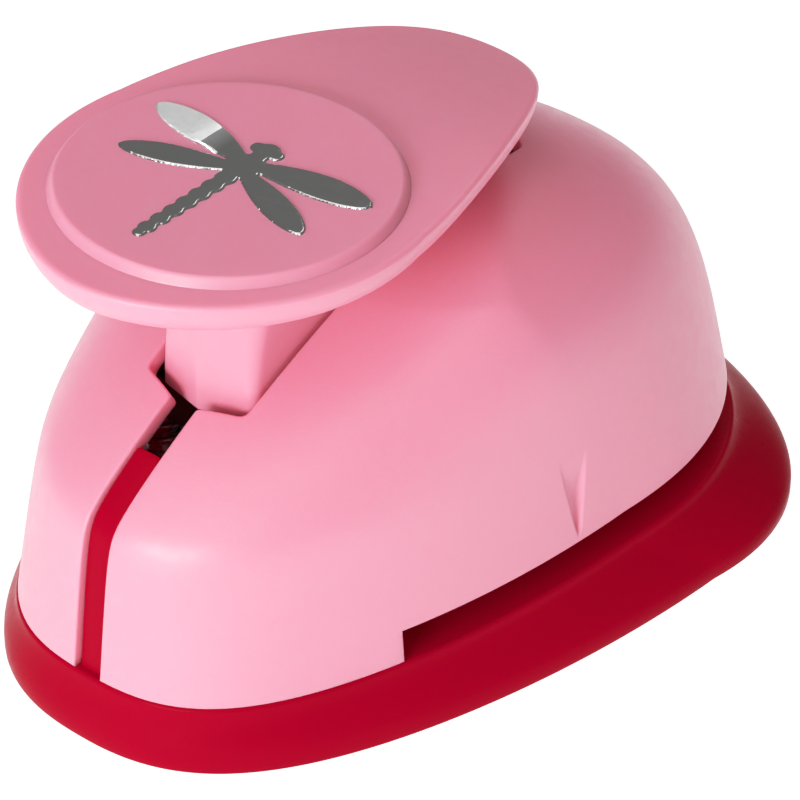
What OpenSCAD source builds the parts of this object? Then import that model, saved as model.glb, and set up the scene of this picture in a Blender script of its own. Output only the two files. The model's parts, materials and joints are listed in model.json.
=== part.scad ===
// Lever paper punch: a pink shell over a red base, pressed by a round-nosed thumb pad.
// Millimetres, +Z up, the slotted front end faces -Y, paper goes in from the back (+Y).
// The origin is the centre of the base's underside.

/* [Base] */
// Half of the base's length, front to back
base_half = 46; // [45.5:0.5:48]
// Greatest half-width of the base's foot
base_w = 33.2; // [33:0.2:35]
// Height of the deck that the paper slides on
deck_z = 7.1; // [7:0.05:7.2]
// Thickness of the deck
deck_t = 3; // [2.8:0.1:3]
// Wall thickness of the hollow skirt
skirt_t = 2; // [1.6:0.1:2.2]

/* [Shell] */
// Height of the top of the shell's roof
roof_z = 42.1; // [41.6:0.1:42.6]
// Greatest half-width of the shell at its lower edge
shell_w = 28; // [27.8:0.1:28.4]
// Wall thickness of the shell
shell_t = 1.8; // [1.4:0.1:1.8]
// Height of the raised lower edge, above the paper gap
mouth_z = 10.9; // [10.4:0.1:11.2]
// Half-width of the slot in the front of the shell
slot_half = 1.7; // [1.65:0.05:1.9]

/* [Lever] */
// Height of the top face of the thumb pad under the round insert
pad_z = 54.1; // [53.6:0.1:55]
// Radius of the round insert
disc_r = 17.6; // [16.8:0.1:17.6]
// Height of the round insert above the pad
disc_up = 1; // [0.8:0.1:1.2]
// Radius of the hinge pin
pin_r = 2; // [1.8:0.1:2]

/* [Punch set] */
// Radius of the two guide posts
post_r = 2; // [1.8:0.1:2]
// Clearance of the cutter in the die opening
cut_gap = 0.1; // [0.08:0.01:0.14]
// Height of the paper gap between die and guide plate
throat = 1.5; // [1.2:0.1:1.6]

/* [Hidden] */

seg = 72;                     // points in each outline
pink = [0.90, 0.62, 0.71];
red = [0.66, 0.03, 0.14];
steel = [0.72, 0.73, 0.75];
dark = [0.45, 0.46, 0.48];
chrome = [0.86, 0.87, 0.89];
fit = 0.05;                   // radial play round pins, posts and screws
shank_r = 1.2;                // screw shanks
hole_r = shank_r + fit;       // and their holes

// hinge pin, die and post positions
pin_y = 21.5;
pin_z = 31.5;
cut_y = -0.6;                 // centre of the cut shape
motif_y = cut_y + 3.15;       // origin of the motif, between its wing roots
post_x = 15;
post_y = -16.5;
pad_y = -21.9;                // centre of the round insert
pad_tilt = -1.1;              // the pad falls a little toward the back

// stack of the punch set
die_t = 2;
die_z = deck_z - die_t;
guide_z = deck_z + throat;
guide_t = 2.5;
guide_top = guide_z + guide_t;
ram_z = 19;
ram_t = 5;
ram_top = ram_z + ram_t;
flange_t = 1.6;
floor_z = deck_z - deck_t;    // underside of the deck
head_t = 1.5;                 // screw head height

function sgp(v, e) = sign(v) * pow(abs(v), e);

// oval outline: half-width w, joined at yc, ends at yf and yb, squareness nf and nb,
// k fills the back half and thins the front half, m squares the diagonals
function oval(w, yc, yf, yb, nf, nb, z, k = 0, m = 0) = [
    for (i = [0:seg - 1])
        let (a = 360 * i / seg - 90, c = cos(a), s = sin(a))
        let (e = 2 / (s < 0 ? nf : nb), l = s < 0 ? yc - yf : yb - yc)
        [w * sgp(c, e) * (1 + k * sin(2 * a) * sign(c) + m * cos(4 * a)), yc + l * sgp(s, e), z]
];

// foot of the base and lower edge of the shell, both inset by t
function foot(t, z) =
    oval(base_w - t, 14.8, -base_half + t, base_half - t, 2.32, 2.05, z, 0.083);
function lip(t, z) =
    oval(shell_w + 0.15 - t, 7.6, -44.6 + t, 42.5 - t, 2.49, 2.09, z, 0.084);
function mix(a, b, f) = [
    for (i = [0:seg - 1])
        [a[i][0] * f + b[i][0] * (1 - f), a[i][1] * f + b[i][1] * (1 - f), a[i][2]]
];

// front profile of the shell: a drafted wall blended into a curved, rising roof
crest = 6;                    // the roof is highest here
function crest_y(z) = crest - pow(max(roof_z - z, 0) / 0.01366, 1 / 1.847);
function wall_y(z) = -44.54 + 0.112 * (z - deck_z);
function front_y(z) =
    (wall_y(z) + crest_y(z) + sqrt(pow(wall_y(z) - crest_y(z), 2) + 6.6)) / 2;

// section of the shell at the fraction u of its height
function shell_ring(u) =
    let (z = deck_z + u * (roof_z - deck_z))
    let (yf = min(front_y(z), crest))
    let (yb = crest + (36.4 - 5.2 * u) * pow(1 - pow(u, 4.25), 0.5))
    let (w = (shell_w - 3.08 * u) * pow(1 - pow(u, 6.94), 0.35))
    let (yc = min(max(7.65 - 10.6 * u, yf + 0.3 * (yb - yf)), yf + 0.8 * (yb - yf)))
    oval(w, yc, yf, yb, 2.49 - 0.88 * u, 2.09 + 0.22 * u, z, 0.084 - 0.106 * u);

// quads of the side of a stack of n outlines, from point index k0
function side(n, k0) = [
    for (k = [0:n - 2]) for (i = [0:seg - 1])
        let (a = k0 + k * seg + i, b = k0 + k * seg + (i + 1) % seg)
        [a, a + seg, b + seg, b]
];
function flip(faces) = [for (f = faces) [for (i = [len(f) - 1:-1:0]) f[i]]];
function cap(k0) = [[for (i = [0:seg - 1]) k0 + i]];

// strips across a mirrored outline, so a cap may bend along its length
function strips(k0) = concat(
    [[k0, k0 + 1, k0 + seg - 1]],
    [for (i = [1:seg / 2 - 2]) [k0 + i, k0 + i + 1, k0 + seg - i - 1, k0 + seg - i]],
    [[k0 + seg / 2 - 1, k0 + seg / 2, k0 + seg / 2 + 1]]
);
function flat(rings) = [for (r = rings) each r];

// solid through a stack of outlines, lowest first
module loft(rings, bent = false) {
    top = (len(rings) - 1) * seg;
    polyhedron(
        points = flat(rings),
        faces = concat(side(len(rings), 0), bent ? strips(0) : cap(0),
                       flip(bent ? strips(top) : cap(top))),
        convexity = 6
    );
}

// hollow solid, open below: outer and inner stacks that start at the same height
module hollow(outer, inner) {
    k = len(outer) * seg;
    m = len(inner) * seg;
    brim = [
        for (i = [0:seg - 1])
            let (j = (i + 1) % seg)
            [i, j, k + j, k + i]
    ];
    polyhedron(
        points = concat(flat(outer), flat(inner)),
        faces = concat(side(len(outer), 0), flip(cap(k - seg)), brim,
                       flip(side(len(inner), k)), cap(k + m - seg)),
        convexity = 8
    );
}

// rod along Z from z0 to z1
module rod(r, z0, z1) {
    translate([0, 0, z0])
        cylinder(r = r, h = z1 - z0, $fn = 48);
}

// the same thing at +x and -x
module pair(x, y) {
    for (s = [-1, 1])
        translate([s * x, y, 0])
            children();
}

// slab with rounded corners, from z0 to z1, between x -w and w, y0 and y1
module slab(w, y0, y1, z0, z1, r) {
    translate([0, 0, z0])
        linear_extrude(height = z1 - z0) {
            for (sx = [-1, 1])
                for (y = [y0 + r, y1 - r])
                    translate([sx * (w - r), y])
                        circle(r = r, $fn = 32);
            translate([-w + r, y0])
                square([2 * (w - r), y1 - y0]);
            translate([-w, y0 + r])
                square([2 * w, y1 - y0 - 2 * r]);
        }
}

// ---- motif: a dragonfly seen from above, head toward +Y, grown by g all round ----

// wing outline from the root (x0, y0) to the tip (x1, y1), half-width w
function wing(x0, y0, x1, y1, w, g) =
    let (dx = x1 - x0, dy = y1 - y0, l = sqrt(dx * dx + dy * dy), n = 18)
    let (ux = dx / l, uy = dy / l)
    let (f = [for (i = [0:n]) let (t = i / n)
              [-g + t * (l + 2 * g), 0.35 * (1 - t) + (w + g) * pow(sin(180 * pow(t, 1.3)), 0.62)]])
    concat(
        [for (i = [0:n]) [x0 + ux * f[i][0] - uy * f[i][1], y0 + uy * f[i][0] + ux * f[i][1]]],
        [for (i = [n - 1:-1:0]) [x0 + ux * f[i][0] + uy * f[i][1],
                                 y0 + uy * f[i][0] - ux * f[i][1]]]
    );

module dragonfly(g) {
    for (s = [0, 1])
        mirror([s, 0]) {
            polygon(wing(0.4, 2.8, 13.9, 5.1, 1.75, g));
            polygon(wing(0.3, 1.6, 11.9, -2.8, 1.45, g));
        }
    // thorax, neck, head and eyes
    translate([0, 2.3])
        circle(r = 2 + g, $fn = 40);
    translate([-1.1 - g, 3])
        square([2.2 + 2 * g, 2.4]);
    translate([0, 5.6])
        circle(r = 1.35 + g, $fn = 32);
    for (s = [-1, 1])
        translate([s * 1.15, 5.7])
            circle(r = 0.8 + g, $fn = 24);
    // tail with rounded rings
    polygon([[-1 - g, 2], [1 + g, 2], [0.6 + g, -12.4], [-0.6 - g, -12.4]]);
    for (i = [0:6])
        translate([0, -0.4 - 1.85 * i])
            circle(r = 1.2 - 0.035 * i + g, $fn = 28);
    translate([0, -12.6])
        circle(r = 0.7 + g, $fn = 24);
}

// ---- fasteners ----

// pan-head screw pointing up, the head's flat on z, shank to z + l
module screw(z, l, head_r, shank_r) {
    difference() {
        rod(head_r, z - head_t, z);
        for (a = [0, 90])
            rotate([0, 0, a])
                translate([-head_r * 0.6, -0.3, z - head_t - 1])
                    cube([head_r * 1.2, 0.6, 1.7]);
    }
    rod(shank_r, z - 0.5, z + l);
}

// open ring that snaps into a groove, round the Z axis
module clip(r_in, r_out, t) {
    linear_extrude(height = t)
        difference() {
            circle(r = r_out, $fn = 48);
            circle(r = r_in, $fn = 48);
            translate([0, -r_in * 0.75])
                square([r_out + 1, r_in * 1.5]);
        }
}

// ---- base ----

foot_rings = [for (i = [0:9])
    let (s = i / 9)
    let (z = i == 0 ? 0 : 1 + (deck_z - 1) * (i - 1) / 8)
    let (f = (1 + cos(180 * (z - 1) / (deck_z - 1))) / 2)
    i == 0 ? foot(0.4, 0) : mix(foot(0, z), lip(0, z), f)];
cave_rings = [for (i = [0:4])
    let (z = i * floor_z / 4)
    let (f = i == 0 ? 1 : (1 + cos(180 * max(z - 1, 0) / (deck_z - 1))) / 2)
    mix(foot(skirt_t + 0.2, z), lip(skirt_t + 0.2, z), f)];

// upright spine that fills the slot of the shell, drawn in the YZ plane
spine_set = 0.8;              // it stands this far behind the shell's face
spine_top = 28.8;
function spine_pts() = concat(
    [for (z = [deck_z - 1:1.9:spine_top]) [front_y(z) + spine_set, z]],
    [[front_y(spine_top) + spine_set, spine_top]],
    [[front_y(spine_top) + spine_set + 0.6, spine_top - 2.6]],
    [for (z = [spine_top - 4:-2.2:deck_z - 1]) [front_y(z) + spine_set + 3.4, z]]
);

module in_yz(w, pts) {
    rotate([90, 0, 90])
        translate([0, 0, -w])
            linear_extrude(height = 2 * w)
                polygon(pts);
}

// places of the screws on the right: shell bosses, frame foot and die
boss_xy = [[14.9, -33], [18.4, -26.2]];
foot_xy = [[8, -35], [8, -28]];
die_xy = [[17, -9], [17, 11]];
boss_r = 2.2;
boss_top = 15.2;

// half-width and ends of the die, of the window under it, and of the ram
die_w = 19;
die_y = [-19.5, 14];
window_w = 15;
window_y = [-12, 10.4];
ram_w = 19;
ram_y = [-19.6, 10.6];

rib_z = 0.8;                  // the ribs under the deck end this far over the ground
rib_h = floor_z - rib_z + 0.1;

module bores(xy, r, z0, z1) {
    for (p = xy)
        pair(p[0], p[1])
            rod(r, z0, z1);
}

module base() {
    color(red)
    difference() {
        union() {
            hollow(foot_rings, cave_rings);
            in_yz(slot_half - 0.15, spine_pts());
            // ribs under the deck
            for (y = [-22, 24])
                translate([-14, y, rib_z])
                    cube([28, 1.6, rib_h]);
            translate([-0.8, -42, rib_z])
                cube([1.6, 21, rib_h]);
        }
        slab(die_w + fit, die_y[0] - fit, die_y[1] + fit, die_z, deck_z + 1, 2 + fit);
        slab(window_w, window_y[0], window_y[1], 0, die_z + 1, 2);
        pair(post_x, post_y)
            rod(post_r + fit, floor_z - 1, die_z + 1);
        bores(boss_xy, hole_r, floor_z - 1, deck_z + 1);
        bores(foot_xy, hole_r, floor_z - 1, deck_z + 1);
        bores(die_xy, hole_r, floor_z - 1, die_z + 1);
    }
}

// ---- shell ----

mouth_y = -23.1;              // the lower edge is raised behind this place
shell_steps = 16;
// sections stand closer together above the straight lower wall
function step_u(x) = x < 0.2 ? 1.75 * x : 0.35 + 0.65 * (1 - pow(1.25 - 1.25 * x, 1.45));
outer_rings = [for (i = [0:shell_steps]) shell_ring(0.992 * step_u(i / shell_steps))];
mid_y = -1.1;
shrink = [(shell_w - shell_t) / shell_w, (43.5 - shell_t) / 43.5,
          (roof_z - deck_z - shell_t) / (roof_z - deck_z)];
inner_rings = [for (r = outer_rings)
    [for (p = r) [p[0] * shrink[0], mid_y + (p[1] - mid_y) * shrink[1],
                  deck_z + (p[2] - deck_z) * shrink[2]]]];

// half-width of the roof opening round the lever at y
function gap_w(y) = 6.6 - 0.0012 * pow(y + 17, 2);

// right half of an outline inset by t from the opening's sides, with a blunt point in front
// at tip, whose edges fall back by lean, and corners of radius r in front and rb at the back
function nosed(tip, lean, t, r, back, rb) =
    let (cx = gap_w(tip) - t - r, cy = tip + lean * cx + r * sqrt(1 + lean * lean))
    let (bx = gap_w(back - rb) - t - rb, a0 = atan(lean) - 90)
    concat(
        [[0, tip]],
        [for (i = [0:4]) let (a = a0 * (1 - i / 4)) [cx + r * cos(a), cy + r * sin(a)]],
        [for (y = [-20, -13, -6, 1, 7]) [gap_w(y) - t, y]],
        [for (a = [0:22.5:90]) [bx + rb * cos(a), back - rb + rb * sin(a)]]
    );
opening_side = nosed(-29.7, 0.36, 0, 1.1, 17.7, 2);
// the lever's web has room to swing in the opening
web_side = nosed(-27.2, 0.25, 0.45, 1, 13.8, 1.6);
function both(pts) = concat(pts, [for (i = [len(pts) - 1:-1:0]) [-pts[i][0], pts[i][1]]]);

// V that marks the middle of the cut shape on each side
module v_mark() {
    for (s = [-1, 1])
        translate([s * (shell_w - 0.42), cut_y + 0.2, 12])
            rotate([0, -s * 4.7, 0])
                rotate([90, 0, 90])
                    translate([0, 0, s < 0 ? -3 : 0])
                        linear_extrude(height = 3)
                            difference() {
                                polygon([[0, 0], [2.3, 10.4], [-2.3, 10.4]]);
                                polygon([[0, 3.6], [1.5, 10.5], [-1.5, 10.5]]);
                            }
}

module housing() {
    color(pink)
    difference() {
        union() {
            hollow(outer_rings, inner_rings);
            for (p = boss_xy)
                pair(p[0], p[1])
                    rod(boss_r, deck_z, boss_top);
        }
        // slot for the spine
        translate([-slot_half, -50, 0])
            cube([2 * slot_half, 23, 60]);
        // opening for the lever
        translate([0, 0, 20])
            linear_extrude(height = 40)
                polygon(both(opening_side));
        // paper mouth: the edge is raised from here round the back
        translate([-50, mouth_y, 0])
            cube([100, 80, mouth_z]);
        bores(boss_xy, hole_r, 0, boss_top - 0.7);
        v_mark();
    }
}

// ---- inner frame that carries the hinge pin over the paper gap ----

cheek_in = 11;
cheek_t = 1.5;
foot_t = 1.5;
cheek_pts = [[-37.5, deck_z], [-25.6, deck_z], [-25.6, 21], [-22, 26.4], [10, 27],
             [17.5, 26.6], [21.5, 26.2], [25, 28], [26, 31.5], [24.6, 33.6],
             [21.5, 35], [8, 35.4], [-14, 32.6], [-22, 29.8], [-27.5, 26.4],
             [-32.2, 22.5], [-35, 17]];

module chassis() {
    color(steel)
    difference() {
        union() {
            for (s = [-1, 1])
                translate([s * (cheek_in + cheek_t / 2), 0, 0])
                    in_yz(cheek_t / 2, cheek_pts);
            translate([-cheek_in - 0.5, -37.5, deck_z])
                cube([2 * cheek_in + 1, 11.9, foot_t]);
        }
        translate([0, pin_y, pin_z])
            rotate([0, 90, 0])
                rod(pin_r + 0.02, -20, 20);
        bores(foot_xy, hole_r, 0, 12);
    }
}

// ---- lever ----

// fall of the pad behind its middle, s from the centre of the round insert
function droop(s) = s > 12.6 ? 0.0045 * pow(s - 12.6, 2) : 0;
pad_steps = [[3.6, -4.3], [2.67, -4.17], [1.53, -3.6], [0.65, -2.64], [0.12, -1.41],
             [0, -0.4], [0.2, -0.1], [0.7, 0]];
function pad_ring(t, dz) =
    [for (p = oval(19.5 - t, 5.85, -21.9 + t, 41.05 - t, 1.916, 2.12, 0, -0.136, 0.012))
        [p[0], p[1], dz - droop(p[1])]];

nose_r = 3;
nose_z = ram_top + nose_r + 0.05;
hub_r = 3.8;
hub_half = cheek_in - 0.3;

// side view of the web between the pad and the ram
web_top = [for (s = [-5, 7, 15, 23, 31, 36]) [pad_y + s, pad_z - 1.6 - droop(s)]];
web_pts = concat(
    [[-28, 30.3], [-28, 52.2]], web_top,
    [[13.8, 36.8], [pin_y, pin_z + hub_r], [pin_y, pin_z - hub_r], [9, 27.4]],
    [for (a = [-60:-20:-120]) [cut_y + nose_r * cos(a), nose_z + nose_r * sin(a)]],
    [[-12, 27]]
);

module lever() {
    color(pink)
    difference() {
        union() {
            translate([0, pad_y, pad_z])
                rotate([pad_tilt, 0, 0])
                    loft([for (q = pad_steps) pad_ring(q[0], q[1])], true);
            intersection() {
                in_yz(12, web_pts);
                translate([0, 0, 15])
                    linear_extrude(height = 45)
                        union() {
                            polygon(both(web_side));
                            translate([-3.9, 12])
                                square([7.8, 12]);
                        }
            }
            translate([0, pin_y, pin_z])
                rotate([0, 90, 0])
                    rod(hub_r, -hub_half, hub_half);
        }
        translate([0, pin_y, pin_z])
            rotate([0, 90, 0])
                rod(pin_r + fit, -20, 20);
        // seat of the round insert
        translate([0, pad_y, pad_z])
            rotate([pad_tilt, 0, 0])
                rod(disc_r - 0.6, -0.8, 5);
    }
}

module pad_disc() {
    color(pink)
    translate([0, pad_y, pad_z])
        rotate([pad_tilt, 0, 0])
            rotate_extrude($fn = 96)
                polygon([[0, -0.8], [disc_r - 0.65, -0.8], [disc_r - 0.65, 0.02], [disc_r, 0.02],
                         [disc_r - 0.05, 0.3], [disc_r - 0.3, disc_up - 0.25],
                         [disc_r - 0.75, disc_up], [0, disc_up]]);
}

module dragonfly_emblem() {
    color(chrome)
    translate([0, pad_y, pad_z])
        rotate([pad_tilt, 0, 0])
            translate([0, 0, disc_up])
                union() {
                    linear_extrude(height = 0.2)
                        dragonfly(0);
                    translate([0, 2.3])
                        cylinder(r = 1, h = 0.2);
                }
}

// ---- hinge hardware ----

pin_half = 14.2;
clip_x = cheek_in + cheek_t + 0.15;

module pivot_pin() {
    color(steel)
    translate([0, pin_y, pin_z])
        rotate([0, 90, 0])
            difference() {
                rod(pin_r, -pin_half, pin_half);
                for (s = [-1, 1])
                    translate([0, 0, s * (clip_x + 0.4) - 0.45])
                        difference() {
                            cylinder(r = pin_r + 1, h = 0.9, $fn = 48);
                            cylinder(r = pin_r - 0.5, h = 0.9, $fn = 48);
                        }
            }
}

module pivot_clips() {
    color(dark)
    for (s = [-1, 1])
        translate([s * (clip_x + 0.4) - 0.4, pin_y, pin_z])
            rotate([0, 90, 0])
                clip(pin_r - 0.45, pin_r + 1.2, 0.8);
}

// ---- punch set ----

module die_plate() {
    color(steel)
    difference() {
        slab(die_w, die_y[0], die_y[1], die_z, deck_z, 2);
        translate([0, motif_y, die_z - 1])
            linear_extrude(height = die_t + 2)
                dragonfly(cut_gap);
        pair(post_x, post_y)
            rod(post_r + fit, 0, 20);
        bores(die_xy, hole_r, 0, deck_z - 0.5);
    }
}

module stripper_plate() {
    color(steel)
    difference() {
        slab(die_w, die_y[0], die_y[1] - 1, guide_z, guide_top, 2);
        translate([0, motif_y, guide_z - 1])
            linear_extrude(height = guide_t + 2)
                dragonfly(cut_gap);
        pair(post_x, post_y)
            rod(post_r + fit, 0, 20);
    }
}

module plate_spacers() {
    color(steel)
    pair(post_x, post_y)
        difference() {
            rod(3.4, deck_z, guide_z);
            rod(post_r + fit, 0, 20);
        }
}

post_top = 26.6;
groove_z = ram_top + 0.15;

module guide_posts() {
    color(steel)
    pair(post_x, post_y)
        difference() {
            union() {
                rod(post_r, floor_z, post_top - 0.5);
                translate([0, 0, post_top - 0.5])
                    cylinder(r1 = post_r, r2 = post_r - 0.5, h = 0.5, $fn = 48);
            }
            translate([0, 0, groove_z - 0.05])
                difference() {
                    cylinder(r = post_r + 1, h = 0.9, $fn = 48);
                    cylinder(r = post_r - 0.5, h = 0.9, $fn = 48);
                }
        }
}

module post_clips() {
    color(dark)
    pair(post_x, post_y)
        translate([0, 0, groove_z])
            clip(post_r - 0.45, post_r + 1.5, 0.8);
}

cut_screw_x = 11;
cut_head_r = 2.5;

module ram_block() {
    color(dark)
    difference() {
        slab(ram_w, ram_y[0], ram_y[1], ram_z, ram_top, 2.5);
        pair(post_x, post_y)
            rod(post_r + fit, 0, 40);
        pair(cut_screw_x, cut_y) {
            rod(hole_r, 0, 40);
            rod(cut_head_r + fit, ram_top - head_t - 0.1, 40);
        }
    }
}

module punch_cutter() {
    color(chrome)
    difference() {
        union() {
            slab(14.8, -11.6, 10.2, ram_z - flange_t, ram_z, 2);
            translate([0, motif_y, deck_z + 1.9])
                linear_extrude(height = ram_z - flange_t - deck_z - 1.4)
                    dragonfly(0);
        }
        pair(cut_screw_x, cut_y)
            rod(hole_r, ram_z - flange_t - 1, 40);
    }
}

module cutter_screws() {
    color(dark)
    pair(cut_screw_x, cut_y)
        translate([0, 0, ram_top - head_t])
            mirror([0, 0, 1])
                screw(0, ram_t - head_t + flange_t - 0.1, cut_head_r, shank_r);
}

// ---- return springs: wire coiled round each guide post ----

spring_r = 3.1;
wire_r = 0.4;
coils = 4;
wire_n = 8;
turn_n = 18;

function coil_pt(t, b) =
    let (a = 360 * t, r = spring_r + wire_r * cos(b))
    [r * cos(a), r * sin(a),
     guide_top + wire_r + 0.05 + (ram_z - guide_top - 2 * wire_r - 0.1) * t / coils
     + wire_r * sin(b)];

module coil() {
    n = coils * turn_n;
    polyhedron(
        points = [for (k = [0:n]) for (i = [0:wire_n - 1]) coil_pt(k / turn_n, 360 * i / wire_n)],
        faces = concat(
            [for (k = [0:n - 1]) for (i = [0:wire_n - 1])
                let (a = k * wire_n + i, b = k * wire_n + (i + 1) % wire_n)
                [a, b, b + wire_n, a + wire_n]],
            [[for (i = [wire_n - 1:-1:0]) i]],
            [[for (i = [0:wire_n - 1]) n * wire_n + i]]
        ),
        convexity = 10
    );
}

module return_spring_left() {
    color(steel)
    translate([-post_x, post_y, 0])
        coil();
}

module return_spring_right() {
    color(steel)
    translate([post_x, post_y, 0])
        coil();
}

// ---- screws from below ----

module row_screws(xy, z, l, head_r) {
    color(dark)
    for (p = xy)
        pair(p[0], p[1])
            screw(z, l, head_r, shank_r);
}

module die_screws() {
    row_screws(die_xy, floor_z, deck_z - floor_z - 0.6, 1.9);
}

module chassis_screws() {
    row_screws(foot_xy, floor_z, deck_z - floor_z + foot_t + 0.6, 2.4);
}

module housing_screws() {
    row_screws(boss_xy, floor_z, 9.8, 2.2);
}

base();
housing();
chassis();
lever();
pad_disc();
dragonfly_emblem();
pivot_pin();
pivot_clips();
die_plate();
stripper_plate();
plate_spacers();
guide_posts();
post_clips();
ram_block();
punch_cutter();
cutter_screws();
return_spring_left();
return_spring_right();
die_screws();
chassis_screws();
housing_screws();
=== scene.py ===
"""Looks for the lever paper punch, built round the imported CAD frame.

Lengths in the shape functions are millimetres in the CAD frame (+Z up, slotted front end toward -Y);
they become metres when a mesh is made.
"""

import json
import math

import bpy
import numpy as np
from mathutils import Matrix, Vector


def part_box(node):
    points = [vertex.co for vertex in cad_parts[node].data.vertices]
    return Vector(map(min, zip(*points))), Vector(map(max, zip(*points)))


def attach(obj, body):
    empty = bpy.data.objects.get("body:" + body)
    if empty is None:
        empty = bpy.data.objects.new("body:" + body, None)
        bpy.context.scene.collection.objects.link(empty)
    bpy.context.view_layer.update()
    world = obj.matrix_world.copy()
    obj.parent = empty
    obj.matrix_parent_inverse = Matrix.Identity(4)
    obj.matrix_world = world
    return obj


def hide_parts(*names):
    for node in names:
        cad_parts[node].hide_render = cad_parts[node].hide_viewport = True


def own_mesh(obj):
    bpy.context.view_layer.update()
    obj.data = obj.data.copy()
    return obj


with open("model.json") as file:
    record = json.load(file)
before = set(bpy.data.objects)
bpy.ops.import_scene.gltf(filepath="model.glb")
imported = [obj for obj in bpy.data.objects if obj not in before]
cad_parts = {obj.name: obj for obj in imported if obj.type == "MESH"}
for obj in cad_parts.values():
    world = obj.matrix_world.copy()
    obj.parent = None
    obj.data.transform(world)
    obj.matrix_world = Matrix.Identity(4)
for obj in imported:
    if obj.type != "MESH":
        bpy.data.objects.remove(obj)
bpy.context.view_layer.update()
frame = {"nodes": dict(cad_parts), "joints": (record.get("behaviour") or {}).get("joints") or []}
MM = 0.001


def node_box(node):
    """Lowest and highest corner of a CAD node, in millimetres."""
    low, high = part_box(node)
    return np.array(low) / MM, np.array(high) / MM


# ---------------------------------------------------------------- driving dimensions

_, BASE_HIGH = node_box("base")
SHELL_LOW, SHELL_HIGH = node_box("housing")
DIE_LOW, DIE_HIGH = node_box("die_plate")
DISC_LOW, DISC_HIGH = node_box("pad_disc")
HINGE = np.array(frame["joints"][0]["pos_m"]) / MM

DECK_Z = SHELL_LOW[2]          # top of the base's deck and lower edge of the shell
DECK_T = 3.0
BASE_HALF = BASE_HIGH[1]       # half the base's length
BASE_W = BASE_HIGH[0] / 1.009  # half-widths before the filled back half widens them
SHELL_W = SHELL_HIGH[0] / 1.0015
ROOF_Z = 42.1                  # where the roof would close over the opening
SHELL_T = 1.8
CREST_Y = 6.0                  # the roof is highest here
WALL_Y = -44.54                # foot of the shell's front wall
WALL_DRAFT = 0.112
MOUTH_Z = 10.9                 # raised lower edge over the paper
MOUTH_Y = -23.1                # it starts here
SLOT_HALF = 1.7
TIP_Y = -29.7                  # blunt front point of the roof opening, inside the slot's mouth
LEAN = 0.36                    # its front edges fall back by this much
BACK_Y = 17.7                  # the roof opening ends here
WEB_TIP_Y = -27.2              # blunt front point of the lever's web
SPINE_TOP = 28.8
SPINE_SET = 0.8                # the spine stands this far behind the shell's face
CUT_Y = -0.6                   # middle of the cut shape, which the V marks
PAD_Y = (DISC_LOW[1] + DISC_HIGH[1]) / 2
PAD_Z = 54.1
PAD_TILT = math.radians(-1.1)
DISC_R = (DISC_HIGH[0] - DISC_LOW[0]) / 2
DISC_UP = 1.0


# ---------------------------------------------------------------- shape functions

def sgp(v, e):
    """Signed power."""
    return np.sign(v) * np.abs(v) ** e


def oval(a, w, yc, yf, yb, nf, nb, k=0.0, m=0.0):
    """Outline points at angles a: half-width w, joined at yc, ends at yf and yb,
    squareness nf and nb, k fills the back half, m squares the diagonals."""
    c, s = np.cos(a), np.sin(a)
    front = s < 0
    e = np.where(front, 2 / nf, 2 / nb)
    length = np.where(front, yc - yf, yb - yc)
    x = w * sgp(c, e) * (1 + k * np.sin(2 * a) * np.sign(c) + m * np.cos(4 * a))
    return np.stack([x, yc + length * sgp(s, e)], -1)


def lift(xy, z):
    """Outline points raised to height z, a number or one value per point."""
    return np.concatenate([xy, np.broadcast_to(np.asarray(z, float), xy.shape[:1])[:, None]], 1)


def smooth_step(v):
    v = np.clip(v, 0, 1)
    return v * v * (3 - 2 * v)


def front_y(z):
    """Front profile of the shell: a drafted wall blended into a curved, rising roof."""
    fall, power, shoulder = 0.01366, 1.847, 6.6
    wall = WALL_Y + WALL_DRAFT * (z - DECK_Z)
    roof = CREST_Y - (np.maximum(ROOF_Z - z, 0) / fall) ** (1 / power)
    return (wall + roof + np.sqrt((wall - roof) ** 2 + shoulder)) / 2


def section(u):
    """Oval parameters of the shell at the fraction u of its height: the walls lean in by the
    terms in u, and the powers of u close the roof."""
    z = DECK_Z + u * (ROOF_Z - DECK_Z)
    yf = np.minimum(front_y(z), CREST_Y)
    yb = CREST_Y + (36.4 - 5.2 * u) * np.sqrt(1 - u ** 4.25)
    w = (SHELL_W - 3.08 * u) * (1 - u ** 6.94) ** 0.35
    yc = np.minimum(np.maximum(7.65 - 10.6 * u, yf + 0.3 * (yb - yf)), yf + 0.8 * (yb - yf))
    return w, yc, yf, yb, 2.49 - 0.88 * u, 2.09 + 0.22 * u, 0.084 - 0.106 * u


def half_width(u, y):
    """Half-width of the section u at y, negative outside it."""
    w, yc, yf, yb, nf, nb, k = section(u)
    front = y < yc
    length = np.where(front, yc - yf, yb - yc)
    n = np.where(front, nf, nb)
    q = np.abs(y - yc) / np.maximum(length, 1e-6)
    s = np.clip(q, 0, 1) ** (n / 2)
    c = np.sqrt(1 - s * s)
    x = w * c ** (2 / n) * (1 + k * 2 * s * c * np.where(front, -1, 1))
    return np.where(q < 1, x, -1.0)


def roof_height(xy):
    """Height of the shell's outside over points (n, 2), for its upper part."""
    low = np.full(len(xy), 0.5)
    high = np.full(len(xy), 0.9999)
    for _ in range(36):
        mid = (low + high) / 2
        inside = np.abs(xy[:, 0]) < half_width(mid, xy[:, 1])
        low = np.where(inside, mid, low)
        high = np.where(inside, high, mid)
    return DECK_Z + low * (ROOF_Z - DECK_Z)


def once_round(n):
    """n angles round an outline, starting at the front."""
    return np.linspace(-math.pi / 2, 1.5 * math.pi, n, endpoint=False)


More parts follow.
